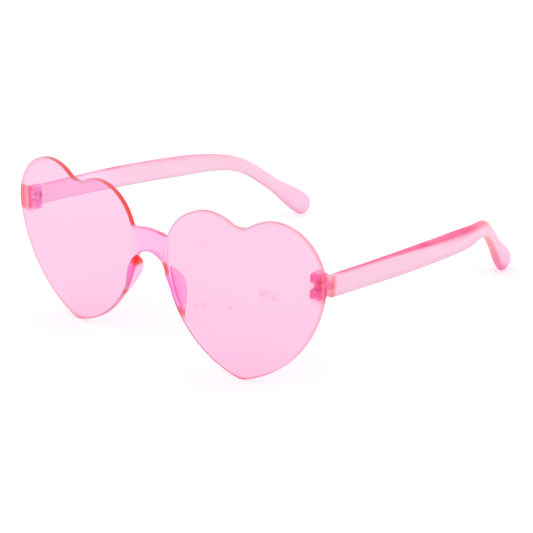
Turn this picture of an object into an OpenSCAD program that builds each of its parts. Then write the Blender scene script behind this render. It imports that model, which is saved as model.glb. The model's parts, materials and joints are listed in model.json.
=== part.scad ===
// Rimless heart shaped sunglasses: one clear tinted sheet cut as two hearts and a bridge,
// two bonded nose pads, two bonded hinge blocks, two frosted temples and two hinge screws.
// The glasses stand open on the two heart tips and the two temple tips.
// X runs across the face with the mid-plane at 0, the hearts face -Y, the temples run back
// along +Y and +Z is up. Every piece is drawn for the wearer's left side, where X is positive
// (the right side of the picture), and mirrored for the other side.

/* [Hearts] */
// Thickness of the clear sheet
sheet_t = 1.8; // [1.2:0.1:3]
// Distance from the mid-plane to the centre of a heart
heart_x = 38.7; // [36.5:0.1:42]
// Angle by which each heart turns back from the bridge
wrap_angle = 4.4; // [0:0.1:8]
// Radius of the outer lobe
outer_lobe_r = 18; // [17:0.1:20]
// Distance of the outer lobe's centre outward from the heart's centre
outer_lobe_x = 12.8; // [11:0.1:14]
// Height of the outer lobe's centre above the heart's centre
outer_lobe_z = 9.4; // [8:0.1:10.5]
// Radius of the inner lobe
inner_lobe_r = 17.7; // [16.5:0.1:18.5]
// Distance of the inner lobe's centre inward from the heart's centre
inner_lobe_x = 13.9; // [12.5:0.1:14.5]
// Height of the inner lobe's centre above the heart's centre
inner_lobe_z = 7.9; // [7:0.1:9]
// Radius of the rounded cleft between the lobes
cleft_r = 7.8; // [3:0.1:9]
// Radius of the rounded tip
tip_r = 4.8; // [2:0.1:8]
// Distance of the tip's centre inward from the heart's centre
tip_x = 0.2; // [0:0.1:3]
// Distance of the tip's centre below the heart's centre
tip_z = 23.9; // [21:0.1:27]
// Radius of the long curve from the outer lobe to the tip
outer_side_r = 43.8; // [38:0.1:60]
// Radius of the long curve from the inner lobe to the tip
inner_side_r = 37.3; // [35:0.1:45]

/* [Bridge] */
// Half width of the bridge between its two creases
crease_x = 8.5; // [7.8:0.1:8.8]
// How far the middle of the bridge bows forward
bridge_bow = 0.1; // [0:0.1:1.5]
// Height of the bridge's top edge at the mid-plane, above the hearts' centres
bridge_top_z = 14.2; // [12:0.1:16]
// How far the top edge falls from the mid-plane to its corners
bridge_drop = 0.8; // [0:0.1:1.5]
// Radius of the corner between the top edge and a heart
bridge_corner_r = 1.7; // [0.5:0.1:3]
// Half width of the arch under the bridge at its base
arch_half_w = 7.1; // [6.3:0.1:7.5]
// Height of the arch's base above the hearts' centres
arch_base_z = 0.1; // [-1:0.1:2]
// Height of the arch from its base to its crown
arch_h = 6.2; // [4:0.1:8]
// Distance below the hearts' centres at which the arch runs into the hearts
arch_foot_z = 4.5; // [3:0.1:8]

/* [Nose pads] */
// Height of a pad's upper end above the heart's centre
pad_top_z = 2.9; // [0:0.1:3.4]
// Distance of a pad's lower end below the heart's centre
pad_bottom_z = 13.2; // [11:0.1:16]
// Distance of a pad from the heart's inner edge
pad_inset = 0.1; // [0.1:0.1:1.5]
// Greatest width of a pad on the sheet
pad_w = 3.2; // [2.5:0.1:5]
// Greatest height of a pad behind the sheet
pad_h = 5.2; // [4:0.1:7.5]

/* [Hinges] */
// Distance of the hinge screw inward from the heart's outermost point
pin_inset = 4.7; // [4.2:0.1:5.7]
// Distance of the screw's axis behind the sheet
pin_back = 2.4; // [2.3:0.1:3]
// Height of the middle of the hinge above the outer lobe's centre
hinge_rise = -0.2; // [-1:0.1:1.6]
// Radius of the ears and of the temple's knuckle round the screw
ear_r = 1.65; // [1.5:0.05:1.8]
// Height of one ear
ear_h = 2.7; // [2:0.1:3]
// Height of the space between the ears
ear_gap = 2.6; // [2:0.1:3.2]
// Distance from the screw's axis to the outer face of the hinge block
block_out = 2.2; // [1.9:0.1:3.4]
// Diameter of the screw's shank
screw_d = 1.5; // [1.2:0.05:1.7]
// Diameter of the screw's head
screw_head_d = 2.5; // [2:0.1:3]
// Height of the screw's head
screw_head_h = 0.6; // [0.4:0.1:1]

/* [Temples] */
// Length of a temple along its middle line
temple_len = 146; // [135:1:155]
// Distance of the temple's front end outward from the screw's axis
root_out = 2.5; // [2.2:0.1:2.8]
// Thickness of a temple along its straight part
temple_t = 2.8; // [2.2:0.1:3.2]
// Thickness of a temple at its neck over the ear
neck_t = 4.1; // [3:0.1:4.5]
// Thickness of a temple behind the ear
ear_end_t = 5.4; // [4:0.1:6.5]
// Height of a temple at its front end
root_h = 7.1; // [6.2:0.1:8]
// Height of a temple along its straight part
temple_h = 8; // [7:0.1:9]
// Height of a temple at its neck over the ear
neck_h = 5.6; // [4.2:0.1:6.5]
// Width of the paddle at the temple's end
paddle_h = 9; // [7:0.1:10]
// Where along the temple the bend over the ear begins
bend_start = 88.5; // [80:0.1:95]
// Length of the bend over the ear
bend_len = 28.2; // [22:0.1:35]
// Angle through which the end of the temple turns down
bend_angle = 31.3; // [20:0.1:40]
// Angle by which the front of the temple already falls
front_fall_angle = 2.8; // [0:0.1:4]
// Angle by which the straight part turns further down before the bend
straight_fall_angle = 2.5; // [0:0.1:4]
// Angle by which a temple opens outward at its front end
toe_angle = 3.5; // [1:0.1:5]
// Angle through which the straight part curves inward
bow_angle = 10.7; // [6:0.1:13]
// Angle by which the end behind the ear turns further inward
ear_turn_angle = 10.9; // [5:0.1:15]
// Angle by which the last stretch of the paddle turns back outward
flick_angle = 9; // [0:0.5:14]

/* [Fits] */
// Radial running clearance between a screw and its temple's bore
pin_fit = 0.05; // [0.02:0.01:0.1]
// Radial clearance between a screw and the bores of the ears
screw_seat = 0.03; // [0.02:0.01:0.05]
// Clearance above, below and in front of a knuckle
knuckle_gap = 0.2; // [0.1:0.05:0.3]
// Distance from the ears' round backs to the front end of a temple
fold_gap = 0.6; // [0.5:0.05:1]

/* [Hidden] */
// Overrun of every cut past the face it opens on
over = 1;
// Overlap by which joined shapes bite into each other
bite = 0.4;
// Angle between two points of an arc
arc_step = 4;
// Sides of the round pieces
round_sides = 64;
// Points on the bow of the bridge and on half of its arch
bow_points = 8;
arch_points = 14;

// Clipped and smoothed steps from 0 to 1, used for everything that changes along a temple
function clip(x) = max(0, min(1, x));
function smooth(x) = clip(x) * clip(x) * (3 - 2 * clip(x));
function mix(a, b, share) = a + (b - a) * share;

// Outline of one heart in its own plane, made of six tangent arcs
outer_lobe = [outer_lobe_x, outer_lobe_z];
inner_lobe = [-inner_lobe_x, inner_lobe_z];
tip = [-tip_x, -tip_z];
function direction(v) = atan2(v[1], v[0]);
function after(a, from) = a < from ? a + 360 : a;
// Centre of the circle that touches two circles: it holds both when its radius is positive
// and lies outside both when its radius is given as negative
function touching(c1, r1, c2, r2, radius, side) =
    let (gap1 = radius - r1)
    let (gap2 = radius - r2)
    let (apart = norm(c2 - c1))
    let (along = (gap1 * gap1 - gap2 * gap2 + apart * apart) / (2 * apart))
    let (across = sqrt(max(0, gap1 * gap1 - along * along)))
    let (e = (c2 - c1) / apart)
    c1 + e * along + [-e[1], e[0]] * across * side;
function arc(c, r, from, to) =
    let (n = max(2, ceil(abs(to - from) / arc_step)))
    [for (i = [0:n]) c + r * [cos(mix(from, to, i / n)), sin(mix(from, to, i / n))]];
outer_side = touching(outer_lobe, outer_lobe_r, tip, tip_r, outer_side_r, -1);
inner_side = touching(inner_lobe, inner_lobe_r, tip, tip_r, inner_side_r, 1);
cleft = touching(inner_lobe, inner_lobe_r, outer_lobe, outer_lobe_r, -cleft_r, 1);
a_tip_out = direction(tip - outer_side);
a_lobe_out = direction(outer_lobe - outer_side);
a_cleft_out = direction(cleft - outer_lobe);
a_cleft_in = direction(cleft - inner_lobe);
a_foot = 180 + asin((inner_side[1] + arch_foot_z) / inner_side_r);
a_tip_in = after(direction(tip - inner_side), 0);
// The round corner between the bridge's top edge and the inner lobe
corner_z = bridge_top_z - bridge_drop;
corner = [inner_lobe[0] - sqrt(pow(inner_lobe_r + bridge_corner_r, 2)
                               - pow(corner_z + bridge_corner_r - inner_lobe_z, 2)),
          corner_z + bridge_corner_r];
heart_points = concat(
    arc(inner_side, inner_side_r, a_foot, a_tip_in),
    arc(tip, tip_r, a_tip_in, a_tip_out + 360),
    arc(outer_side, outer_side_r, a_tip_out, a_lobe_out),
    arc(outer_lobe, outer_lobe_r, a_lobe_out, a_cleft_out),
    arc(cleft, cleft_r, a_cleft_out - 180, a_cleft_in - 180),
    arc(inner_lobe, inner_lobe_r, a_cleft_in, direction(corner - inner_lobe)),
    arc(corner, bridge_corner_r, direction(inner_lobe - corner), -90));

// The sheet in plan: each heart lies flat in a plane turned back by the wrap angle
sheet_y = sheet_t / cos(wrap_angle);
function across(u) = heart_x + u * cos(wrap_angle);
function flat_y(x) = (abs(x) - heart_x) * tan(wrap_angle);
function front_y(x) = abs(x) >= crease_x ? flat_y(x)
    : flat_y(crease_x) - bridge_bow * (1 - pow(x / crease_x, 2));
plan_end = across(outer_lobe_x + outer_lobe_r) + over;
plan_x = concat([-plan_end], [for (i = [-bow_points:bow_points]) crease_x * i / bow_points],
                [plan_end]);
plan_points = concat([for (x = plan_x) [x, front_y(x)]],
                     [for (i = [len(plan_x) - 1:-1:0]) [plan_x[i], front_y(plan_x[i]) + sheet_y]]);

// Half of the whole outline: the arch under the bridge, a heart and the bridge's bowed top
arch_side = [for (i = [0:arch_points - 1]) let (a = 90 * i / arch_points)
             [arch_half_w * sin(a), arch_base_z + arch_h * cos(a)]];
top_side = [for (i = [bow_points - 1:-1:0])
            [across(corner[0]) * i / bow_points,
             bridge_top_z - bridge_drop * pow(i / bow_points, 2)]];
half_outline = concat(arch_side, [[arch_half_w, arch_base_z]],
                      [for (p = heart_points) [across(p[0]), p[1]]], top_side);

// The screw's axis, and the temple's front end placed from it
pin_x = outer_lobe_x + outer_lobe_r - pin_inset;
hinge_z = outer_lobe_z + hinge_rise;
pin = [heart_x + pin_x * cos(wrap_angle) - pin_back * sin(wrap_angle),
       sheet_y + pin_x * sin(wrap_angle) + pin_back * cos(wrap_angle)];
block_h = 2 * ear_h + ear_gap;
root_drop_share = 0.05;
root = [pin[0] + root_out, pin[1] + ear_r + fold_gap, hinge_z - block_h * root_drop_share];

// Shares of a temple's length at which its sizes change
height_grows_share = 0.34;
straight_share = 0.616;
narrows_share = [0.495, 0.767];
widens_share = [0.829, 0.954];
thickens_share = [0.58, 0.716];
swells_share = [0.752, 1];
turns_share = [0.529, 0.638];
flicks_share = [0.875, 0.996];
rounds_share = [0.461, 0.688];
// Squareness of the section at the front and at the end, and fullness of the rounded end
section_power = [6, 1.8];
end_power = [2.2, 4.5];
section_sides = 24;
front_rings = 10;
back_rings = 24;
end_rings = 8;
// Share of the rounded end's depth that the last ring reaches
last_ring_share = 0.985;

function step(s, range_share) =
    smooth((s / temple_len - range_share[0]) / (range_share[1] - range_share[0]));
function yaw(s) = -toe_angle + bow_angle * clip(s / temple_len / straight_share)
    + ear_turn_angle * step(s, turns_share) - flick_angle * step(s, flicks_share);
function fall(s) = front_fall_angle + straight_fall_angle * clip(s / temple_len / straight_share)
    + bend_angle * smooth((s - bend_start) / bend_len);
function heading(s) = [-sin(yaw(s)) * cos(fall(s)), cos(yaw(s)) * cos(fall(s)), -sin(fall(s))];
function outward(s) = [cos(yaw(s)), sin(yaw(s)), 0];
function upward(s) = cross(outward(s), heading(s));
end_depth = paddle_h / 2;
function end_share(s) = clip((s - temple_len + end_depth) / end_depth);
function high(s) = (mix(root_h, temple_h, smooth(s / temple_len / height_grows_share))
    + (neck_h - temple_h) * step(s, narrows_share) + (paddle_h - neck_h) * step(s, widens_share))
    * sqrt(1 - pow(end_share(s), end_power[0]));
function thick(s) = (temple_t + (neck_t - temple_t) * step(s, thickens_share)
    + (ear_end_t - neck_t) * step(s, swells_share))
    * sqrt(1 - pow(end_share(s), end_power[1]));
function power_of(v, p) = sign(v) * pow(abs(v), p);

neck_at = temple_len * narrows_share[0];
body_end = temple_len - end_depth;
stations = concat(
    [for (i = [0:front_rings - 1]) neck_at * i / front_rings],
    [for (i = [0:back_rings - 1]) mix(neck_at, body_end, i / back_rings)],
    [for (i = [0:end_rings]) body_end + end_depth * last_ring_share * sin(90 * i / end_rings)]);
// The middle line is the sum of its short steps
middle = [for (i = 0, p = root; i < len(stations);
               p = i + 1 < len(stations)
                   ? p + heading((stations[i] + stations[i + 1]) / 2)
                         * (stations[i + 1] - stations[i]) : p,
               i = i + 1) p];
function ring(i) =
    let (s = stations[i])
    let (p = 2 / mix(section_power[0], section_power[1], step(s, rounds_share)))
    [for (j = [0:section_sides - 1]) let (a = 360 * j / section_sides)
     middle[i] + outward(s) * (thick(s) / 2 * power_of(cos(a), p))
               + upward(s) * (high(s) / 2 * power_of(sin(a), p))];
temple_points = [for (i = [0:len(stations) - 1]) each ring(i)];

// Side faces of a skin through rings of equal size, with both ends closed
function skin(rings, n) = concat(
    [[for (j = [n - 1:-1:0]) j]],
    [for (i = [0:rings - 2]) for (j = [0:n - 1])
     let (k = (j + 1) % n)
     each [[i * n + j, i * n + k, (i + 1) * n + k],
           [i * n + j, (i + 1) * n + k, (i + 1) * n + j]]],
    [[for (j = [0:n - 1]) (rings - 1) * n + j]]);

// The open glasses lean until the heart tips and the temples stand on one plane
front_ends = [for (p = half_outline) [p[0], front_y(p[0]), p[1]]];
front_feet = concat(front_ends, [for (p = front_ends) p + [0, sheet_y, 0]]);
function lowest(points, a) = min([for (p = points) p[2] * cos(a) - p[1] * sin(a)]);
function settle(low, top, tries) =
    let (a = (low + top) / 2)
    tries == 0 ? a
    : lowest(temple_points, a) > lowest(front_feet, a) ? settle(a, top, tries - 1)
    : settle(low, a, tries - 1);
tilt = settle(-15, 15, 36);
lift = -min(lowest(front_feet, tilt), lowest(temple_points, tilt));
function reach(points) = [for (p = points) p[1] * cos(tilt) + p[2] * sin(tilt)];
shift_y = -(min(reach(front_ends)) + max(reach(temple_points))) / 2;

// Puts the glasses on their feet with the origin under the middle of their box
module stand() {
    translate([0, shift_y, lift])
        rotate([-tilt, 0, 0])
            children();
}

// Side +1 leaves a piece where it is drawn, and side -1 mirrors it
module on_side(side) {
    stand()
        mirror([side < 0 ? 1 : 0, 0, 0])
            children();
}

// Plane of a heart's back: X along the sheet, Y straight back from it, Z up
module on_back() {
    translate([heart_x, sheet_y, 0])
        rotate([0, 0, wrap_angle])
            children();
}

// The clear sheet: the outline of hearts and bridge cut through the bent plan
module front() {
    heart_top = max([for (p = heart_points) p[1]]);
    heart_low = min([for (p = heart_points) p[1]]);
    deep = flat_y(plan_end) + sheet_y + over;
    color([1, 0.81, 0.91, 0.6])
        stand()
            intersection() {
                translate([0, 0, heart_low - over])
                    linear_extrude(heart_top - heart_low + 2 * over)
                        polygon(plan_points);
                translate([0, deep, 0])
                    rotate([90, 0, 0])
                        linear_extrude(deep - flat_y(0) + bridge_bow + over)
                            outline();
            }
}

module outline() {
    polygon(concat(half_outline,
                   [for (i = [len(half_outline) - 1:-1:0])
                    if (half_outline[i][0] > 0) [-half_outline[i][0], half_outline[i][1]]]));
}

// A nose pad: a clear ridge along the heart's inner edge, flat on the sheet, with a rounded
// crest that stands nearer to the nose than to the middle of the heart, and highest above
// the middle of its length
pad_sections = 18;
pad_sides = 14;
pad_power = 1.4;
crest_share = 0.355;
peak_share = 0.425;
pad_end_share = 0.015;
pad_full_power = [0.84, 1];
function pad_angle(z) = 180 + asin((inner_side[1] - z) / inner_side_r);
function pad_ring(share) =
    let (a = mix(pad_angle(pad_top_z), pad_angle(-pad_bottom_z), share))
    let (full = sin(180 * pow(share, ln(0.5) / ln(peak_share))))
    let (w = pad_w * pow(full, pad_full_power[0]))
    let (h = pad_h * pow(full, pad_full_power[1]))
    [for (j = [pad_sides:-1:0])
     let (b = 180 * j / pad_sides)
     let (up = pow(sin(b), 2 / pad_power))
     let (side = (1 - power_of(cos(b), 2 / pad_power)) / 2)
     let (deep = pad_inset + w * (side + (crest_share - 0.5) * up))
     let (p = inner_side + (inner_side_r - deep) * [cos(a), sin(a)])
     [p[0], h * up, p[1]]];
pad_points = [for (i = [0:pad_sections])
              each pad_ring(mix(pad_end_share, 1 - pad_end_share, i / pad_sections))];

module nose_pad(side) {
    color([1, 0.62, 0.87, 0.7])
        on_side(side)
            on_back()
                polyhedron(points = pad_points, faces = skin(pad_sections + 1, pad_sides + 1),
                           convexity = 2);
}

// A hinge block: a base bonded to the sheet, and two ears with a space for the knuckle,
// which is open as far as the sheet on the side of the nose
module hinge_block(side) {
    slot_front = pin_back - ear_r - knuckle_gap;
    color([1, 0.42, 0.6, 0.8])
        on_side(side)
            on_back()
                translate([pin_x, 0, hinge_z - block_h / 2])
                    difference() {
                        union() {
                            translate([-ear_r, 0, 0])
                                cube([ear_r + block_out, pin_back, block_h]);
                            cube([block_out, pin_back + ear_r, block_h]);
                            translate([0, pin_back, 0])
                                cylinder(r = ear_r, h = block_h, $fn = round_sides);
                        }
                        translate([-ear_r - over, slot_front, ear_h])
                            cube([ear_r + block_out + 2 * over, pin_back + ear_r, ear_gap]);
                        translate([-ear_r - over, -over, ear_h])
                            cube([ear_r + over, pin_back + over, ear_gap]);
                        translate([0, pin_back, -over])
                            cylinder(r = screw_d / 2 + screw_seat, h = block_h + 2 * over,
                                     $fn = round_sides);
                    }
}

// A temple with its knuckle, which turns about the screw between the ears
module temple(side) {
    knuckle_h = ear_gap - 2 * knuckle_gap;
    web_in = root - [temple_t / 2, 0, 0];
    web_out = root + [temple_t / 2, 0, 0];
    web_end = [0, ear_r, 0];
    color([1, 0.76, 0.87, 0.85])
        on_side(side)
            difference() {
                union() {
                    polyhedron(points = temple_points,
                               faces = skin(len(stations), section_sides), convexity = 4);
                    translate([0, 0, hinge_z - knuckle_h / 2])
                        linear_extrude(knuckle_h)
                            web(web_in, web_out, web_end);
                    translate([pin[0], pin[1], hinge_z - knuckle_h / 2])
                        cylinder(r = ear_r, h = knuckle_h, $fn = round_sides);
                }
                translate([pin[0], pin[1], hinge_z - knuckle_h / 2 - over])
                    cylinder(r = screw_d / 2 + pin_fit, h = knuckle_h + 2 * over,
                             $fn = round_sides);
            }
}

// Plan of the web between the knuckle's round side and the temple's front end
module web(near, far, deep) {
    lean_out = direction([far[0] - pin[0], far[1] - pin[1]]) - 90;
    lean_in = direction([near[0] - pin[0], near[1] - pin[1]]) + 90;
    polygon([pin + ear_r * [cos(lean_in), sin(lean_in)],
             pin + ear_r * [cos(lean_out), sin(lean_out)],
             [far[0] - bite, far[1]], [far[0] - bite, far[1] + deep[1]],
             [near[0] + bite, near[1] + deep[1]], [near[0] + bite, near[1]]]);
}

// A hinge screw with a slotted head, standing in the ears
module hinge_screw(side) {
    slot_w = screw_head_d / 5;
    slot_deep = screw_head_h / 2;
    color([0.6, 0.35, 0.42])
        on_side(side)
            translate([pin[0], pin[1], hinge_z - block_h / 2])
                difference() {
                    union() {
                        cylinder(d = screw_d, h = block_h + bite, $fn = round_sides);
                        translate([0, 0, block_h])
                            cylinder(d = screw_head_d, h = screw_head_h, $fn = round_sides);
                    }
                    translate([-screw_head_d, -slot_w / 2, block_h + screw_head_h - slot_deep])
                        cube([2 * screw_head_d, slot_w, slot_deep + over]);
                }
}

front();
nose_pad(1);  // nose_pad_left
nose_pad(-1);  // nose_pad_right
hinge_block(1);  // hinge_block_left
hinge_block(-1);  // hinge_block_right
temple(1);  // temple_left
temple(-1);  // temple_right
hinge_screw(1);  // hinge_screw_left
hinge_screw(-1);  // hinge_screw_right
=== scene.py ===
import json
from math import radians

import bpy
import bmesh
import numpy as np
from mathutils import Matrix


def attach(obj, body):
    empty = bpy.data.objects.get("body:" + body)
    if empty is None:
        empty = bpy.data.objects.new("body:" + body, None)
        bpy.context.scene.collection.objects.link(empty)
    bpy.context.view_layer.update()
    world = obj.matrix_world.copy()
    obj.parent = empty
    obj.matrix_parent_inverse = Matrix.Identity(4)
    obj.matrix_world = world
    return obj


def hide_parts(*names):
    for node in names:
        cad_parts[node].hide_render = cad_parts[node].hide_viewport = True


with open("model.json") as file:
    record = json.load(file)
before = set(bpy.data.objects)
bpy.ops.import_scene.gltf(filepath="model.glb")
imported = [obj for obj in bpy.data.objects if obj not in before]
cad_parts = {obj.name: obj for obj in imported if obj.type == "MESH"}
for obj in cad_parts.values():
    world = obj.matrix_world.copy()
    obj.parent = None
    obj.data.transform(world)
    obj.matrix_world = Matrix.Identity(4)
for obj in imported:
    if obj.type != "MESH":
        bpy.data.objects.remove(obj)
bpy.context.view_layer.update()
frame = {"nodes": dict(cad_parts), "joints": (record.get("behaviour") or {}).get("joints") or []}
scene = bpy.context.scene
scene.view_settings.view_transform = "Standard"

# ---------------------------------------------------------------- camera
# The photograph was taken with a long lens from the wearer's left front, a little
# above the glasses. Place, turn and focal length come from a fit to the hearts' outlines.
camera_data = bpy.data.cameras.new("camera")
camera_data.sensor_width = 36.0
camera_data.lens = 98.879
camera_data.clip_start = 0.01
camera = bpy.data.objects.new("camera", camera_data)
camera.location = (0.321148, -0.393934, 0.206078)
camera.rotation_euler = (radians(68.745), radians(-0.357), radians(40.274))
scene.collection.objects.link(camera)
scene.camera = camera


# ---------------------------------------------------------------- floor and light
# A white table in a white room. The floor is matt and keeps the soft shadow of the
# glasses; the white that the camera sees comes from the floor and the world, not from lamps.
WHITE = (1.0, 1.0, 1.0)
ROOM_POWER, ROOM_SEEN = 0.84, 1.0
FLOOR_HALF, FLOOR_COLOUR, FLOOR_GLOW = 4.0, (0.82, 0.82, 0.82), 0.26
# Name, place, width and power of each lamp; both look at a point just above the floor
LAMPS = (("key_lamp", (-0.75, -0.65, 1.1), 1.6, 4.0), ("fill_lamp", (0.95, 0.25, 0.8), 0.9, 2.0))
LAMP_AIM = (0.0, 0.0, 0.03)


def feed(tree, socket, value):
    """Sets a socket to a number, a vector or a colour, or links it: to an output, or to
    the number that the mesh carries under a name."""
    if isinstance(value, str):
        value = node(tree, "ShaderNodeAttribute", attribute_name=value)["Fac"]
    if isinstance(value, bpy.types.NodeSocket):
        tree.links.new(value, socket)
    elif socket.type == "RGBA":
        socket.default_value = (*value, 1)
    else:
        socket.default_value = value


def node(tree, kind, *inputs, **values):
    """Adds a shader node, sets its properties or feeds its inputs by name, feeds the rest
    in their order, and gives its outputs."""
    made = tree.nodes.new(kind)
    for key, value in values.items():
        if hasattr(made, key):
            setattr(made, key, value)
        else:
            feed(tree, made.inputs[key.replace("_", " ")], value)
    for socket, value in zip(made.inputs, inputs):
        feed(tree, socket, value)
    return made.outputs


def maths(tree, operation, *values):
    """One sum on sockets, numbers or named attributes."""
    return node(tree, "ShaderNodeMath", *values, operation=operation)[0]


def between(tree, share, first, second):
    """The first shader where share is 0 and the second where it is 1."""
    return node(tree, "ShaderNodeMixShader", share, first, second)[0]


def seen_directly(tree):
    """1 for camera, mirror and refracted rays, 0 for the rays that carry light."""
    path = node(tree, "ShaderNodeLightPath")
    total = maths(tree, "MAXIMUM", path["Is Camera Ray"], path["Is Glossy Ray"])
    return maths(tree, "MAXIMUM", total, path["Is Transmission Ray"])


def blank_material(name):
    """A material and its node tree, emptied."""
    made = bpy.data.materials.new(name)
    made.use_nodes = True
    made.node_tree.nodes.clear()
    return made, made.node_tree


world = bpy.data.worlds.new("white_room")
world.use_nodes = True
world.node_tree.nodes.clear()
scene.world = world
tree = world.node_tree
room = [node(tree, "ShaderNodeBackground", Color=WHITE, Strength=power)[0]
        for power in (ROOM_POWER, ROOM_SEEN)]
node(tree, "ShaderNodeOutputWorld", between(tree, seen_directly(tree), *room))

for name, place, size, power in LAMPS:
    lamp_data = bpy.data.lights.new(name, "AREA")
    lamp_data.energy = power
    lamp_data.size = size
    lamp = bpy.data.objects.new(name, lamp_data)
    lamp.location = place
    toward = np.subtract(LAMP_AIM, place)
    lamp.rotation_euler = (np.arctan2(np.hypot(toward[0], toward[1]), -toward[2]), 0,
                           np.arctan2(-toward[0], toward[1]))
    scene.collection.objects.link(lamp)

floor_mesh = bpy.data.meshes.new("floor")
floor_mesh.from_pydata([(FLOOR_HALF * x, FLOOR_HALF * y, 0)
                        for x, y in ((-1, -1), (1, -1), (1, 1), (-1, 1))], [], [(0, 1, 2, 3)])
floor = bpy.data.objects.new("floor", floor_mesh)
scene.collection.objects.link(floor)
floor_material, tree = blank_material("white_table")
matt = node(tree, "ShaderNodeBsdfDiffuse", Color=FLOOR_COLOUR)[0]
lift = node(tree, "ShaderNodeEmission", Color=WHITE,
            Strength=maths(tree, "MULTIPLY", seen_directly(tree), FLOOR_GLOW))[0]
node(tree, "ShaderNodeOutputMaterial", node(tree, "ShaderNodeAddShader", matt, lift)[0])
floor_mesh.materials.append(floor_material)

# ---------------------------------------------------------------- front sheet
# One sheet of clear pink polycarbonate, 1.8 mm thick, cut as two hearts and a bridge,
# then bent a little at the two ends of the bridge. Its faces are polished; the cut edge
# is left as the cutter leaves it, and the light that it gathers from the whole sheet is
# painted on it as an orange red glow.
SHEET_T, WRAP, HEART_X = 1.8, radians(4.4), 38.7
CREASE_X, BOW = 8.5, 0.1
LOBES = {"outer": ((12.8, 9.4), 18.0), "inner": ((-13.9, 7.9), 17.7)}
TIP = ((-0.2, -23.9), 4.8)
SIDE_R = {"outer": 43.8, "inner": 37.3}
CLEFT_R, CORNER_R = 7.8, 1.7
TOP_Z, TOP_DROP = 14.2, 0.8
ARCH_W, ARCH_Z, ARCH_H, FOOT_Z = 7.1, 0.1, 6.2, -4.5
EDGE_ROUND = 0.22
# Heights between which the nose pads run along the inner edges of the hearts, and half
# the height of the stretch of outer edge in front of a hinge block
PAD_BOTTOM, PAD_TOP, HINGE_HALF = -13.2, 2.9, 4.7

# Numbers of points along the arch, its foot, half of the top edge and the mid-plane, and
# the steps in degrees along long, short and very short arcs
ARCH_N, FOOT_N, TOP_N, SEAM_N = 36, 7, 14, 9
LONG_STEP, SHORT_STEP, CORNER_STEP = 1.5, 4, 8
# The point inside the heart from which the rows of a face spread, and the rows' shares of
# the way from it to the edge
POLE = np.array([HEART_X - 10.7, 6.0])
FACE_ROWS = np.array([0.3, 0.55, 0.72, 0.82, 0.88, 0.92, 0.945, 0.963, 0.976, 0.986, 0.994, 1])
# Angles in degrees of the rows round the edge's soft corner, and rows across its flat
CORNER_TURN, FLAT_N = (30, 60, 90), 4
# Shift in mm between the cutter's marks of the two halves, which must not mirror each other
MARKS_APART = 7.0
# Distance in metres within which points are one
MERGE = 2e-7

# The pin of the wearer's left hinge, in the sheet's own upright frame, and where it stands
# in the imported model, give the lean and the place of the whole drawing.
PIN = np.array([64.539, 6.20061, 9.2])
left_joint = [j for j in frame["joints"] if j["name"] == "left_temple_fold"][0]
lean = np.array(left_joint["axis"], float)
lean /= np.linalg.norm(lean)
LEAN = np.array([[1, 0, 0], [0, lean[2], lean[1]], [0, -lean[1], lean[2]]])
STAND = np.array(left_joint["pos_m"], float) * 1000 - LEAN @ PIN


def held(x, start, end):
    """Share of the way from start to end, held at 0 and 1."""
    return np.clip((x - start) / (end - start), 0, 1)


def rise(x, start, end):
    """A smooth step from 0 at start to 1 at end: three squares less two cubes of the share
    of the way."""
    share = held(x, start, end)
    return share * share * (3 - 2 * share)


def placed(points):
    """Turns points of the upright drawing, in mm, onto the feet of the model, in metres."""
    return (np.asarray(points, float) @ LEAN.T + STAND) / 1000


def touching(c1, r1, c2, r2, radius, side):
    """Centre of the circle of a radius that touches two circles: the meeting point of
    circles about their centres with the differences of the radii."""
    c1, c2 = np.array(c1), np.array(c2)
    apart = np.linalg.norm(c2 - c1)
    along = ((radius - r1) ** 2 - (radius - r2) ** 2 + apart ** 2) / (2 * apart)
    across = np.sqrt((radius - r1) ** 2 - along ** 2)
    e = (c2 - c1) / apart
    return c1 + e * along + np.array([-e[1], e[0]]) * across * side


def arc(centre, radius, start, end, step=LONG_STEP):
    """Points of a circle between two angles in degrees, about one step apart."""
    angle = np.radians(np.linspace(start, end, max(4, int(abs(end - start) / step) + 1)))
    return np.array(centre) + radius * np.stack([np.cos(angle), np.sin(angle)], -1)


def direction(v):
    """Angle of a plane vector, in degrees."""
    return np.degrees(np.arctan2(v[1], v[0]))


def sheet_front(x):
    """Height of the sheet's front face towards the wearer: flat hearts turned back by
    the wrap angle, and a slight parabola forward between the two creases."""
    x = np.abs(x)
    flat = (x - HEART_X) * np.tan(WRAP)
    bent = (CREASE_X - HEART_X) * np.tan(WRAP) - BOW * (1 - (x / CREASE_X) ** 2)
    return np.where(x < CREASE_X, bent, flat)


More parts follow.
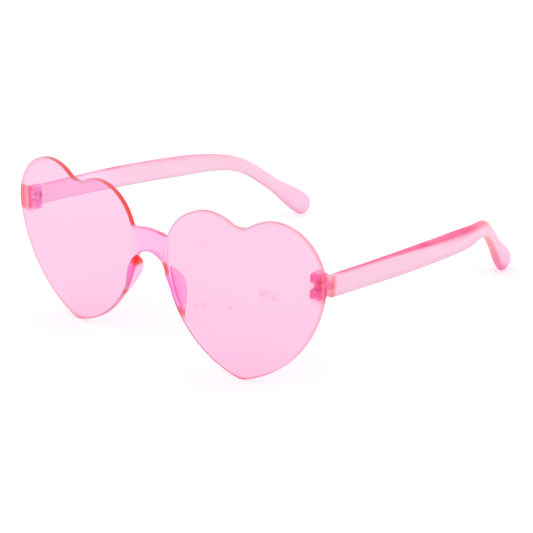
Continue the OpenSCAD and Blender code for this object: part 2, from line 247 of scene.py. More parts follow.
def half_outline():
    """Half of the cut outline as one open line from the crown of the arch round the
    heart to the middle of the top edge: an ellipse, tangent arcs and a parabola."""
    (outer_c, outer_r), (inner_c, inner_r) = LOBES["outer"], LOBES["inner"]
    outer_side = touching(outer_c, outer_r, *TIP, SIDE_R["outer"], -1)
    inner_side = touching(inner_c, inner_r, *TIP, SIDE_R["inner"], 1)
    cleft = touching(inner_c, inner_r, outer_c, outer_r, -CLEFT_R, 1)
    corner_z = TOP_Z - TOP_DROP + CORNER_R
    corner = np.array([inner_c[0] - np.sqrt((inner_r + CORNER_R) ** 2
                                            - (corner_z - inner_c[1]) ** 2), corner_z])
    tip_c, tip_r = np.array(TIP[0]), TIP[1]
    foot = 180 + np.degrees(np.arcsin((inner_side[1] - FOOT_Z) / SIDE_R["inner"]))
    tip_in, tip_out = direction(tip_c - inner_side) % 360, direction(tip_c - outer_side)
    lobe_out = direction(outer_c - outer_side)
    cleft_out, cleft_in = direction(cleft - outer_c), direction(cleft - inner_c)
    corner_in = direction(corner - inner_c)
    heart = np.concatenate([
        arc(inner_side, SIDE_R["inner"], foot, tip_in)[:-1],
        arc(tip_c, tip_r, tip_in, tip_out + 360, SHORT_STEP)[:-1],
        arc(outer_side, SIDE_R["outer"], tip_out, lobe_out)[:-1],
        arc(outer_c, outer_r, lobe_out, cleft_out)[:-1],
        arc(cleft, CLEFT_R, cleft_out - 180, cleft_in - 180, SHORT_STEP)[:-1],
        arc(inner_c, inner_r, cleft_in, corner_in)[:-1],
        arc(corner, CORNER_R, corner_in - 180, -90, CORNER_STEP)])
    heart[:, 0] = HEART_X + heart[:, 0] * np.cos(WRAP)
    a = np.radians(np.linspace(0, 90, ARCH_N))
    arch = np.stack([ARCH_W * np.sin(a), ARCH_Z + ARCH_H * np.cos(a)], -1)
    foot_line = arch[-1] + (heart[0] - arch[-1]) * np.linspace(0, 1, FOOT_N)[1:-1, None]
    share = np.linspace(1, 0, TOP_N)[1:]
    top = np.stack([heart[-1, 0] * share, TOP_Z - TOP_DROP * share ** 2], -1)
    return np.concatenate([arch, foot_line, heart, top])


def outline_normals(line):
    """Outward normals of the half outline: its tangents turned by a quarter turn,
    upright where the line meets the mid-plane."""
    tangent = np.gradient(line, axis=0)
    normal = np.stack([tangent[:, 1], -tangent[:, 0]], -1)
    normal /= np.linalg.norm(normal, axis=1, keepdims=True)
    normal[0], normal[-1] = (0, -1), (0, 1)
    return normal


def edge_distance(points, line):
    """Distance in mm of each point to the nearest stretch of the outline and its mirror."""
    a, b = line[:-1], line[1:]
    ab = b - a
    best = np.full(len(points), np.inf)
    for mirror in (1, -1):
        p = points * np.array([mirror, 1])
        t = np.clip(((p[:, None] - a) * ab).sum(-1) / (ab ** 2).sum(-1), 0, 1)
        gap = np.linalg.norm(p[:, None] - (a + t[..., None] * ab), axis=-1)
        best = np.minimum(best, gap.min(1))
    return best


def new_piece(name, points, faces):
    """A smooth mesh object at the origin from points in metres and rows of point numbers."""
    mesh = bpy.data.meshes.new(name)
    mesh.from_pydata([tuple(p) for p in points], [], [tuple(f) for f in faces])
    mesh.validate()
    mesh.polygons.foreach_set("use_smooth", np.full(len(mesh.polygons), True))
    piece = bpy.data.objects.new(name, mesh)
    scene.collection.objects.link(piece)
    return piece


def weld(mesh, gap=MERGE, outward=False, flat_angle=0):
    """Joins the points that lie within a gap. It can also turn all faces outward, or join
    neighbours that make a smaller angle than the one given."""
    work = bmesh.new()
    work.from_mesh(mesh)
    bmesh.ops.remove_doubles(work, verts=work.verts, dist=gap)
    if outward:
        bmesh.ops.recalc_face_normals(work, faces=work.faces)
    if flat_angle:
        bmesh.ops.dissolve_limit(work, angle_limit=flat_angle, verts=work.verts,
                                 edges=work.edges)
    work.to_mesh(mesh)
    work.free()


def give(mesh, name, values):
    """Stores one number for each vertex under a name that a material can read."""
    mesh.attributes.new(name, "FLOAT", "POINT").data.foreach_set(
        "value", np.asarray(values, np.float32).ravel())


def strip(a, b, closed):
    """Quads between two rows of vertex numbers, optionally joined at the ends."""
    quads = np.stack([a, np.roll(a, -1), np.roll(b, -1), b], -1)
    return quads if closed else quads[:-1]


def edge_light(facing, height):
    """How much painted red glow the cut edge gets and how much it hides: most where it faces
    the nose above the pads, less on top, least where it faces outward and below the pads.
    Beside a pad it is clear and is painted with the pad's own magenta as a glow, with a
    painted orange glow at the pad's two ends, and in front of a hinge block it is painted
    with the block's hot pink glow. Facing is 1 outward and -1 to the nose, and height is in
    mm from the heart's centre."""
    above = rise(height, PAD_TOP + 0.2, PAD_TOP + 1.4)
    below = rise(height, PAD_BOTTOM + 1.5, PAD_BOTTOM - 1.5)
    outward = held(facing, 0, 0.5)
    glow = np.clip(0.32 - facing * 0.95, 0, 1) * (1 - 0.9 * below)
    beside = held(facing, 0, -0.3) * (1 - above) * (1 - below)
    ends = beside * np.maximum(rise(height, -0.6, 0.6), rise(height, -9.6, -11.0))
    hinge = rise(facing, 0.55, 0.75) * rise(np.abs(height - PIN[2]), HINGE_HALF, HINGE_HALF - 0.8)
    cover = (1 - outward) * (0.96 - 0.91 * below) + outward * 0.25
    cover = cover * (1 - 0.7 * beside * (1 - ends)) + 0.45 * hinge
    return {"edge_glow": glow, "edge_cover": cover, "beside_pad": beside, "pad_end": ends,
            "by_hinge": hinge}


def painted_face_light(deep, facing, height):
    """Painted light on the front face, on the wearer's left and on the right: a soft band of
    painted glow of the cut edge on the outward sides, a fine line of painted shade on the
    nose sides and round the tips, the painted hot pink glow before a hinge block and the
    painted glow beside a pad. Each is a product of steps of the distance from the edge in
    mm, of the way the edge faces and of the height."""
    nose, outer = held(facing, 0, -0.3), rise(facing, 0.4, 0.7)
    band = rise(deep, 2.0, 0.3) * held(facing, 0, 0.3)
    tips = rise(height, -19, -25) * np.clip(1.3 - np.abs(facing) * 1.3, 0, 1)
    line = rise(deep, 0.85, 0.35) * np.maximum(nose * (1 - 0.5 * rise(height, 0, 4)), tips)
    left_hinge = (rise(np.abs(height - PIN[2]), HINGE_HALF, HINGE_HALF - 0.7) * outer
                  * (0.45 * rise(deep, 5.4, 4.2) + 0.4 * rise(deep, 3.0, 1.6)))
    right_hinge = (rise(np.abs(height - PIN[2] - 0.5), HINGE_HALF + 0.4, HINGE_HALF - 0.3)
                   * outer * rise(deep, 6.6, 5.7))
    pad = rise(deep, 1.7, 1.0) * nose * rise(height, 3.0, 2.2) * rise(height, -7, -4)
    return {"rim_band": (0 * band, band), "rim_line": (line, 0.75 * line ** 1.5),
            "hinge_glow": (left_hinge, right_hinge), "pad_glow": (pad, pad)}


def front_sheet():
    """Rows of points from a pole inside the heart out to the edge, round the edge's
    profile and back to a pole on the rear face; mirrored and joined at the mid-plane."""
    line = half_outline()
    normal = outline_normals(line)
    rim_n = len(line)
    inset = line - normal * EDGE_ROUND
    seam_z = np.linspace(inset[-1, 1], inset[0, 1], SEAM_N)[1:-1]
    loop = np.concatenate([inset, np.stack([0 * seam_z, seam_z], -1)])
    face = POLE + (loop - POLE) * FACE_ROWS[:, None, None]
    thick = SHEET_T / np.cos(WRAP)
    turn = np.radians(CORNER_TURN)
    bevel_in = EDGE_ROUND * (1 - np.sin(turn))
    bevel_back = EDGE_ROUND * (1 - np.cos(turn))
    flat = np.linspace(0, 1, FLAT_N + 2)[1:-1]
    profile_in = np.concatenate([bevel_in, 0 * flat, bevel_in[::-1]])
    profile_y = np.concatenate([bevel_back, EDGE_ROUND + (thick - 2 * EDGE_ROUND) * flat,
                                thick - bevel_back[::-1]])
    rim = line - normal * profile_in[:, None, None]

    def in_space(flat_points, back):
        """Plane points on the sheet's front face, or some mm behind it."""
        x, z = flat_points[..., 0], flat_points[..., 1]
        return np.stack([x, sheet_front(x) + back, z], -1).reshape(-1, 3)

    points = np.concatenate([
        in_space(face, 0.0), in_space(rim, profile_y[:, None]), in_space(face, thick),
        in_space(np.array([POLE, POLE]), np.array([0, thick]))])
    n, s, k = len(loop), len(FACE_ROWS), len(profile_in)
    f_id = np.arange(s * n).reshape(s, n)
    r_id = s * n + np.arange(k * rim_n).reshape(k, rim_n)
    b_id = s * n + k * rim_n + f_id
    pole_f, pole_b = len(points) - 2, len(points) - 1
    front_rim, back_rim = f_id[-1, :rim_n], b_id[-1, :rim_n]
    rows = [front_rim, *r_id, back_rim]
    faces = [q for i in range(s - 1) for q in strip(f_id[i + 1], f_id[i], True)]
    faces += [q for i in range(s - 1) for q in strip(b_id[i], b_id[i + 1], True)]
    faces += [(pole_f, f_id[0, j], f_id[0, (j + 1) % n]) for j in range(n)]
    faces += [(pole_b, b_id[0, (j + 1) % n], b_id[0, j]) for j in range(n)]
    face_n = len(faces)
    faces += [q for i in range(k + 1) for q in strip(rows[i + 1], rows[i], False)]

    def on_rim(rim_rows, front, back):
        """A number for every point: on the rows of the rim and on the edges of the two
        faces as given, 0 elsewhere."""
        values = np.zeros(len(points))
        values[r_id], values[front_rim], values[back_rim] = rim_rows, front, back
        return values

    run = np.concatenate([[0], np.cumsum(np.linalg.norm(np.diff(line, axis=0), axis=1))])
    along = on_rim(run, run, run)
    soft = np.repeat([1, 0, 1], [len(bevel_in), len(flat), len(bevel_in)])
    facing = on_rim(normal[:, 0], normal[:, 0], normal[:, 0])
    facing[f_id] = np.concatenate([normal[:, 0], 0 * seam_z])
    height = points[:, 2]
    deep = edge_distance(points[:, [0, 2]], line)
    both = np.concatenate([points, points * [-1, 1, 1]])
    mirrored = [np.add(f[::-1], len(points)) for f in faces]
    sheet = new_piece("front_sheet", placed(both), faces + mirrored)
    give(sheet.data, "along_edge", np.concatenate([along, -along - MARKS_APART]))
    give(sheet.data, "across", both[:, 0])
    for key, values in {"height": height, **edge_light(facing, height),
                        "edge_corner": on_rim(soft[:, None], 1, 1),
                        "through_edge": on_rim((profile_y / thick)[:, None], 0, 1)}.items():
        give(sheet.data, key, np.tile(values, 2))
    for key, (left, right) in painted_face_light(deep, facing, height).items():
        left[b_id], right[b_id] = 0, 0
        give(sheet.data, key, np.concatenate([left, right]))
    slots = np.zeros(len(faces), int)
    slots[face_n:] = 1
    sheet.data.polygons.foreach_set("material_index", np.tile(slots, 2))
    weld(sheet.data)
    return sheet


# Faint smudges on the wearer's left heart: middle and radius in metres
SMUDGES = (((0.0468, -0.0703, 0.0312), 0.0024), ((0.0484, -0.0702, 0.0328), 0.0020),
           ((0.0512, -0.0700, 0.0318), 0.0016), ((0.0205, -0.0725, 0.0210), 0.0018),
           ((0.0232, -0.0723, 0.0214), 0.0018), ((0.0338, -0.0714, 0.0240), 0.0012))
# Where the painted shade of the bend lies on the wearer's left, nearer the middle than the crease
NEAR_LINE_X = 6.7
DYE = (1.0, 0.35, 0.85)


def ramp(tree, value, stops, smooth=True):
    """Colour by value: a list of (position, colour) stops."""
    made = tree.nodes.new("ShaderNodeValToRGB")
    made.color_ramp.interpolation = "EASE" if smooth else "LINEAR"
    while len(made.color_ramp.elements) < len(stops):
        made.color_ramp.elements.new(0.5)
    for stop, (position, colour) in zip(made.color_ramp.elements, stops):
        stop.position = position
        stop.color = (*colour, 1)
    feed(tree, made.inputs[0], value)
    return made.outputs[0]


def remap(tree, value, low, high, to_low=0.0, to_high=1.0):
    """Straight remapping of a value with both ends held."""
    return node(tree, "ShaderNodeMapRange", value, low, high, to_low, to_high)[0]


def blend_colours(tree, share, a, b):
    """Colour a where share is 0 and colour b where it is 1."""
    made = tree.nodes.new("ShaderNodeMix")
    made.data_type = "RGBA"
    for place, value in ((0, share), (6, a), (7, b)):
        feed(tree, made.inputs[place], value)
    return made.outputs[2]


def layered(tree, colour, *layers):
    """A colour under layers of (share, colour), laid on in their order."""
    for share, over in layers:
        colour = blend_colours(tree, share, colour, over)
    return colour


def in_object(tree):
    """The place on the object, in metres."""
    return node(tree, "ShaderNodeTexCoord")["Object"]


def noise(tree, place, scale, detail=2.0, roughness=0.5):
    """Cloudy noise about 0.5."""
    return node(tree, "ShaderNodeTexNoise", Vector=place, Scale=scale, Detail=detail,
                Roughness=roughness)["Fac"]


def outside(tree):
    """1 on the outer side of a face and 0 on its back."""
    return maths(tree, "SUBTRACT", 1.0, node(tree, "ShaderNodeNewGeometry")["Backfacing"])


def see_through(tree, colour):
    """Lets light pass with a tint."""
    return node(tree, "ShaderNodeBsdfTransparent", Color=colour)[0]


def polished_pink():
    """Clear tinted sheet: light passes and takes the tint, a thin haze shows the dye, and
    the outer faces mirror the room more at a slant. The tint is deeper low down and on the
    bridge. Painted glow of the cut edge, of the hinge blocks and of the pads lies along the
    outline, with fine lines of painted shade there, and painted shade lies along the two bend
    lines. Finger marks dull the faces, and a few smudges of dust lie on the wearer's left heart."""
    made, tree = blank_material("polished_pink_sheet")
    across = maths(tree, "ABSOLUTE", "across")
    # Dark colour of the fine lines of painted shade along the outline
    line = blend_colours(tree, remap(tree, "height", -24, -16, 1, 0), (0.52, 0.26, 0.30),
                         (0.82, 0.20, 0.26))
    # Colour of the painted hot pink glow before the hinge blocks
    hot = blend_colours(tree, remap(tree, "across", -9, 9), (1.0, 0.36, 0.46),
                        (1.0, 0.46, 0.60))
    # Painted shade along the two bend lines
    near_bend = maths(tree, "ABSOLUTE", maths(tree, "SUBTRACT", "across", NEAR_LINE_X))
    near_bend = maths(tree, "MULTIPLY", remap(tree, near_bend, 0.1, 0.5, 1, 0),
                      remap(tree, "height", 6.5, 11, 0.75, 0.12))
    far_bend = maths(tree, "ABSOLUTE", maths(tree, "SUBTRACT", across, CREASE_X))
    far_bend = maths(tree, "MULTIPLY", remap(tree, far_bend, 0.05, 0.3, 0.35, 0),
                     remap(tree, "across", -1, 1, 1, 0))
    place = in_object(tree)
    stretched = node(tree, "ShaderNodeMapping", Vector=place, Scale=(150.0, 150.0, 330.0))[0]
    marks = maths(tree, "MULTIPLY",
                  remap(tree, noise(tree, stretched, 1.0, 3.0, 0.6), 0.58, 0.72),
                  remap(tree, noise(tree, place, 38.0, 0.0), 0.52, 0.64))
    spots = 0.0
    for middle, radius in SMUDGES:
        gap = node(tree, "ShaderNodeVectorMath", place, middle, operation="DISTANCE")["Value"]
        spots = maths(tree, "MAXIMUM", spots, remap(tree, gap, radius / 3, radius, 1, 0))
    spots = maths(tree, "MULTIPLY", spots, remap(tree, noise(tree, place, 1300.0), 0.46, 0.56))
    body = layered(tree, (1.0, 0.82, 0.906),
                   (remap(tree, "height", -26, 22, 1, 0), (1.0, 0.814, 0.899)),
                   (remap(tree, across, 6.6, 8.5, 1, 0), (1.0, 0.75, 0.895)),
                   ("rim_band", (0.95, 0.62, 0.68)),
                   ("rim_line", line),
                   ("hinge_glow", hot),
                   ("pad_glow", (1.0, 0.52, 0.80)),
                   (near_bend, (0.95, 0.46, 0.62)),
                   (far_bend, (1.0, 0.70, 0.86)),
                   (maths(tree, "MULTIPLY", marks, 0.35), (0.96, 0.68, 0.80)),
                   (maths(tree, "MULTIPLY", spots, 0.8), (1.0, 0.56, 0.70)))
    haze = between(tree, 0.5, node(tree, "ShaderNodeBsdfDiffuse", Color=DYE)[0],
                   node(tree, "ShaderNodeBsdfTranslucent", Color=DYE)[0])
    shine = node(tree, "ShaderNodeBsdfGlossy",
                 Roughness=remap(tree, marks, 0, 1, 0.04, 0.3))[0]
    gloss = maths(tree, "MULTIPLY", node(tree, "ShaderNodeFresnel", IOR=1.5)[0], outside(tree))
    node(tree, "ShaderNodeOutputMaterial",
         between(tree, gloss, between(tree, 0.1, see_through(tree, body), haze), shine))
    return made


def cut_edge():
    """The cut edge, coloured with painted glow: orange red where it faces the nose, paling
    from salmon to pink where it faces outward, and magenta to red over the bridge, with the
    cutter's fine upright marks and a deeper line of painted shade along its two corners,
    which is a pale one on the wearer's left heart. Seen from inside the sheet it only adds
    its tint, and shows the painted magenta glow of the pads and of the bridge."""
    made, tree = blank_material("glowing_cut_edge")
    marks = noise(tree, node(tree, "ShaderNodeCombineXYZ", "along_edge")[0], 2.2, 4.0, 0.65)
    uneven = maths(tree, "ADD", "edge_glow", remap(tree, marks, 0.3, 0.7, -0.09, 0.09))
    # Painted glow, reddest where the edge faces the nose and salmon to pink facing outward
    glow = ramp(tree, uneven, ((0.0, (0.90, 0.34, 0.38)), (0.32, (0.84, 0.15, 0.18)),
                               (0.62, (0.90, 0.08, 0.08)), (0.9, (1.0, 0.03, 0.008))), False)
    outward = ramp(tree, remap(tree, "height", -26, 24),
                   ((0.0, (0.94, 0.62, 0.66)), (0.34, (0.92, 0.54, 0.57)),
                    (0.62, (0.94, 0.44, 0.45)), (0.78, (0.92, 0.29, 0.29)),
                    (1.0, (0.92, 0.32, 0.34))), False)
    outward = blend_colours(tree, remap(tree, "through_edge", 0.05, 0.75), (1.0, 0.66, 0.80),
                            outward)
    dim = remap(tree, "edge_glow", 0.02, 0.24, 1, 0)
    across = maths(tree, "ABSOLUTE", "across")
    bridge_left = maths(tree, "MULTIPLY", remap(tree, "across", 0, 1),
                        remap(tree, "across", 8.8, 10.6, 1, 0))
    bridge = maths(tree, "MAXIMUM", remap(tree, across, 7.0, 8.2, 1, 0), bridge_left)
    bridge_colour = ramp(tree, remap(tree, "across", -8.5, 8.5),
                         ((0.0, (1.0, 0.46, 0.70)), (0.5, (1.0, 0.17, 0.40)),
                          (1.0, (0.93, 0.05, 0.16))))
    colour = layered(tree, glow,
                     (dim, outward),
                     (remap(tree, "across", 6, 14, 0, 0.15), (1.0, 0.70, 0.78)),
                     (bridge, bridge_colour),
                     ("beside_pad", (0.97, 0.36, 0.66)),
                     ("pad_end", (1.0, 0.07, 0.03)),
                     ("by_hinge", (1.0, 0.12, 0.22)))
    # Painted shade along the edge's two corners, paler on the wearer's left heart
    rosy = blend_colours(tree, 0.6, colour, (0.80, 0.10, 0.18))
    pale_corner = maths(tree, "MULTIPLY", "edge_corner", remap(tree, "across", 5, 9))
    corner = maths(tree, "MULTIPLY", "edge_corner", remap(tree, "across", -6, 6, 0.75, 0.12))
    corner = maths(tree, "MULTIPLY", corner, remap(tree, "beside_pad", 0, 1, 1, 0.3))
    colour = layered(tree, colour, (corner, rosy),
                     (maths(tree, "MULTIPLY", pale_corner, 0.7), (0.95, 0.62, 0.68)))
    open_bridge = maths(tree, "MULTIPLY", bridge, remap(tree, "across", -8, 8, 1, 0.5))
    solid = maths(tree, "MULTIPLY", "edge_cover", remap(tree, open_bridge, 0, 1, 1, 0.15))
    solid = maths(tree, "MULTIPLY", solid, remap(tree, pale_corner, 0, 1, 1, 0.35))
    grooves = node(tree, "ShaderNodeBump", Strength=0.35, Distance=0.0001, Height=marks)
    skin = node(tree, "ShaderNodeBsdfPrincipled", Base_Color=colour, Roughness=0.38, IOR=1.5,
                Normal=grooves[0])[0]
    clear = see_through(tree, blend_colours(tree, remap(tree, dim, 0, 1, 0.5, 0.1), colour,
                                            (1.0, 0.85, 0.9)))
    outer = between(tree, maths(tree, "MAXIMUM", solid, corner), clear, skin)
    # Seen from inside, the tint carries the painted glow of the bridge, the hinge blocks and the
    # pads
    inner = see_through(tree, layered(
        tree, (1.0, 0.78, 0.89),
        (remap(tree, across, 3.6, 6.4, 1, 0), (0.97, 0.45, 0.83)),
        ("by_hinge", (1.0, 0.42, 0.40)),
        ("beside_pad", (1.0, 0.42, 0.80)),
        ("pad_end", (1.0, 0.14, 0.10))))
    node(tree, "ShaderNodeOutputMaterial", between(tree, outside(tree), inner, outer))
    return made


sheet = front_sheet()
for material in (polished_pink(), cut_edge()):
    sheet.data.materials.append(material)
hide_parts("front")
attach(sheet, "frame")

# ---------------------------------------------------------------- nose pads
# Two ridges of the same clear pink plastic, cast and bonded to the back of the sheet along
# the inner edges of the hearts. Their ends carry a painted orange red glow, like the cut edge.
PAD_INSET, PAD_SINK = 0.1, 0.02
PAD_W, PAD_H, PAD_CREST, PAD_PEAK = 3.2, 5.2, 0.355, 0.425
# Power of the superellipse across a pad, and of its width over its height along it
PAD_POWER, PAD_WIDTH_POWER = 1.4, 0.84
PAD_ROWS, PAD_COLS = 57, 33
# Share of a full mirror that the slightly clouded walls of pads and blocks keep
WALL_GLOSS = 0.55


def nose_pad(name, mirror):
    """A ridge over an arc of the heart's inner side: half a superellipse across, leaning
    so that its crest stands over the nose side, swelling as a power of a sine along it."""
    centre = touching(*LOBES["inner"], *TIP, SIDE_R["inner"], 1)
    turn = [180 + np.degrees(np.arcsin((centre[1] - z) / SIDE_R["inner"]))
            for z in (PAD_TOP, PAD_BOTTOM)]
    share = (1 - np.cos(np.linspace(0, np.pi, PAD_ROWS)))[:, None] / 2
    across = np.linspace(0, np.pi, PAD_COLS)
    full = np.sin(np.pi * share ** (np.log(0.5) / np.log(PAD_PEAK)))
    w, h = PAD_W * full ** PAD_WIDTH_POWER, PAD_H * full
    up = np.sin(across) ** (2 / PAD_POWER)
    side = (1 - np.sign(np.cos(across)) * np.abs(np.cos(across)) ** (2 / PAD_POWER)) / 2
    deep = PAD_INSET + w * (side + (PAD_CREST - 0.5) * up)
    angle = np.radians(turn[0] + (turn[1] - turn[0]) * share)
    radius = SIDE_R["inner"] - deep
    u, z = centre[0] + radius * np.cos(angle), centre[1] + radius * np.sin(angle)
    back = h * up - PAD_SINK
    x = HEART_X + u * np.cos(WRAP) - back * np.sin(WRAP)
    y = SHEET_T / np.cos(WRAP) + u * np.sin(WRAP) + back * np.cos(WRAP)
    points = np.stack([mirror * x, y, z], -1).reshape(-1, 3)
    ids = np.arange(x.size).reshape(x.shape)
    faces = np.concatenate([strip(ids[i], ids[i + 1], True) for i in range(PAD_ROWS - 1)])
    pad = new_piece(name, placed(points), faces[:, ::-mirror])
    # Share of the painted orange glow at a pad's ends: at the lower end of the wearer's left pad,
    # mostly at the upper end of the right one
    last = rise(share, 0.88, 0.94)
    end = 0.5 * last if mirror > 0 else np.maximum(rise(share, 0.30, 0.20), 0.3 * last)
    give(pad.data, "nose_side", np.broadcast_to(1 - side, x.shape))
    give(pad.data, "pad_end", np.broadcast_to(end, x.shape))
    foot = np.zeros(len(faces), int)
    foot[PAD_COLS - 1::PAD_COLS] = 1
    pad.data.polygons.foreach_set("material_index", foot)
    weld(pad.data, outward=True)
    return pad


def clear_wall(tree, tint, body, roughness):
    """A wall of clear plastic: light passes with a tint, a small share of it shows the
    plastic's own colour, and the outside mirrors the room more at a slant."""
    skin = node(tree, "ShaderNodeBsdfDiffuse", Color=tint)[0]
    shine = node(tree, "ShaderNodeBsdfGlossy", Roughness=roughness)[0]
    gloss = maths(tree, "MULTIPLY", node(tree, "ShaderNodeFresnel", IOR=1.45)[0],
                  maths(tree, "MULTIPLY", outside(tree), WALL_GLOSS))
    filled = between(tree, body, see_through(tree, tint), skin)
    node(tree, "ShaderNodeOutputMaterial", between(tree, gloss, filled, shine))


def along_x(tree):
    """The place across the face, in metres, positive on the wearer's left."""
    return node(tree, "ShaderNodeSeparateXYZ", in_object(tree))["X"]


def pad_plastic():
    """Clear pink plastic, a little deeper on the nose side, with a painted orange red glow at
    the ends and cloudy streaks left by the casting."""
    made, tree = blank_material("clear_pad_plastic")
    streak = remap(tree, noise(tree, in_object(tree), 420.0), 0.45, 0.7, 0, 0.35)
    tint = layered(tree, (1.0, 0.78, 0.96),
                   ("nose_side", (1.0, 0.73, 0.88)),
                   (streak, (1.0, 0.62, 0.88)),
                   ("pad_end", (1.0, 0.14, 0.07)))
    clear_wall(tree, tint, remap(tree, "pad_end", 0, 1, 0.03, 0.5), 0.08)
    return made


def pad_foot():
    """The bonded foot of a pad: magenta where it is bonded to the sheet, with a deeper line of
    painted shade along the side of the nose, painted paler on the wearer's left, and the
    painted orange glow at the ends."""
    made, tree = blank_material("bonded_pad_foot")
    # Painted shade in the deeper line along the nose side; the wearer's left foot is painted
    # paler
    right = ramp(tree, "nose_side",
                 ((0.0, (1.0, 0.50, 0.90)), (0.66, (1.0, 0.46, 0.86)),
                  (0.84, (1.0, 0.15, 0.38)), (1.0, (1.0, 0.26, 0.56))))
    left = ramp(tree, "nose_side",
                ((0.0, (1.0, 0.68, 0.98)), (0.6, (1.0, 0.62, 0.94)),
                 (0.84, (1.0, 0.27, 0.50)), (1.0, (1.0, 0.38, 0.68))))
    tint = layered(tree, right, (remap(tree, along_x(tree), -0.001, 0.001), left),
                   ("pad_end", (1.0, 0.15, 0.10)))
    clear_wall(tree, tint, 0.03, 0.2)
    return made


pad_materials = (pad_plastic(), pad_foot())
for name, side in (("nose_pad_left", 1), ("nose_pad_right", -1)):
    pad = nose_pad("clear_" + name, side)
    for material in pad_materials:
        pad.data.materials.append(material)
    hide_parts(name)
    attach(pad, "frame")

# ---------------------------------------------------------------- hinge blocks
# Small clear blocks, moulded with an upper and a lower ear, bonded flat to the back of the
# sheet. Their edges are softly rounded, and the light that the sheet gives them is painted
# into their tint as deep pink.
BLOCK_BEVEL = 0.00018
# Distances from the mid-plane, in metres, between which the blocks' tint and its painted light
# change
BLOCK_IN, BLOCK_OUT = 0.0629, 0.0668
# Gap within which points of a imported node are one, and angles that count as flat and sharp
NODE_MERGE, FLAT, SHARP = 1e-6, radians(1), radians(40)


def softened(name, source, width):
    """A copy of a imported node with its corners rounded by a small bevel."""
    mesh = frame["nodes"][source].data.copy()
    mesh.name = name
    piece = bpy.data.objects.new(name, mesh)
    scene.collection.objects.link(piece)
    weld(mesh, NODE_MERGE, flat_angle=FLAT)
    bevel = piece.modifiers.new("soft_edges", "BEVEL")
    bevel.width = width
    bevel.segments = 3
    bevel.limit_method = "ANGLE"
    bevel.angle_limit = SHARP
    mesh.polygons.foreach_set("use_smooth", np.full(len(mesh.polygons), True))
    mesh.materials.clear()
    return piece


def block_plastic():
    """Clear deep pink plastic, its tint painted with light. On the wearer's left it is painted
    deeper where the ears end towards the nose, paler in the middle and pink red at the outer
    end; on the right it is painted deeper outward only. A few orange clouds lie at the outer
    ends."""
    made, tree = blank_material("clear_hinge_plastic")
    x = along_x(tree)
    along = remap(tree, maths(tree, "ABSOLUTE", x), BLOCK_IN, BLOCK_OUT)
    left = ramp(tree, along, ((0.0, (1.0, 0.30, 0.55)), (0.28, (1.0, 0.42, 0.66)),
                              (0.45, (1.0, 0.64, 0.86)), (0.8, (1.0, 0.58, 0.79)),
                              (1.0, (1.0, 0.46, 0.62))), False)
    right = ramp(tree, along, ((0.0, (1.0, 0.72, 0.92)), (0.45, (1.0, 0.70, 0.90)),
                               (0.8, (1.0, 0.52, 0.74)), (1.0, (1.0, 0.44, 0.60))), False)
    cloud = maths(tree, "MULTIPLY", remap(tree, noise(tree, in_object(tree), 520.0), 0.5, 0.62),
                  remap(tree, along, 0.6, 0.95, 0, 0.6))
    tint = layered(tree, right, (remap(tree, x, -0.01, 0.01), left), (cloud, (1.0, 0.30, 0.26)))
    clear_wall(tree, tint, 0.03, 0.12)
    return made


block_material = block_plastic()
for name in ("hinge_block_left", "hinge_block_right"):
    block = softened("clear_" + name, name, BLOCK_BEVEL)
    block.data.materials.append(block_material)
    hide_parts(name)
    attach(block, "frame")

# ---------------------------------------------------------------- hinge screws
# Small slotted steel screws from above through both ears. The pink plastic round them is
# painted into the metal as a dusky rose reflection, and hides the shank, painted there as a
# glow, but for two short bare stretches.
SCREW_BEVEL = 0.00006
# In metres: the shank's hidden half length from the middle of the pin, the two bare
# stretches' places on it, and their half length; each with the distance over which it fades
HIDDEN_HALF, HIDDEN_FADE = 0.0046, 0.0004
BARE_AT, BARE_HALF, BARE_FADE = (0.00125, -0.0017), 0.00035, 0.00035


def screw_metal():
    """Brushed steel: a rough mirror with fine turned rings, tinted with a painted dusky rose
    reflection of the plastic. A soft painted glow of the shank stands for the light that the
    plastic scatters in front of it."""
    made, tree = blank_material("turned_screw_steel")
    place = in_object(tree)
    # Painted reflection: the steel's colour takes the rose of the plastic round it
    tint = blend_colours(tree, noise(tree, place, 2600.0), (0.92, 0.50, 0.66),
                         (1.0, 0.70, 0.82))
    skin = node(tree, "ShaderNodeBsdfPrincipled", Base_Color=tint, Metallic=1.0,
                Roughness=0.34)[0]
    height = maths(tree, "SUBTRACT", node(tree, "ShaderNodeSeparateXYZ", place)["Z"],
                   left_joint["pos_m"][2])
    inside = remap(tree, maths(tree, "ABSOLUTE", height), HIDDEN_HALF,
                   HIDDEN_HALF + HIDDEN_FADE, 0.97, 0)
    bare = [remap(tree, maths(tree, "ABSOLUTE", maths(tree, "SUBTRACT", height, at)),
                  BARE_HALF, BARE_HALF + BARE_FADE, 0.5, 0) for at in BARE_AT]
    hidden = maths(tree, "SUBTRACT", inside, maths(tree, "MAXIMUM", *bare))
    # Painted glow over the hidden shank
    plastic = node(tree, "ShaderNodeEmission", Color=(1.0, 0.55, 0.78), Strength=0.95)[0]
    node(tree, "ShaderNodeOutputMaterial", between(tree, hidden, skin, plastic))
    return made


screw_material = screw_metal()
for name in ("hinge_screw_left", "hinge_screw_right"):
    screw = softened("turned_" + name, name, SCREW_BEVEL)
    screw.data.materials.append(screw_material)
    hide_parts(name)
    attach(screw, "frame")

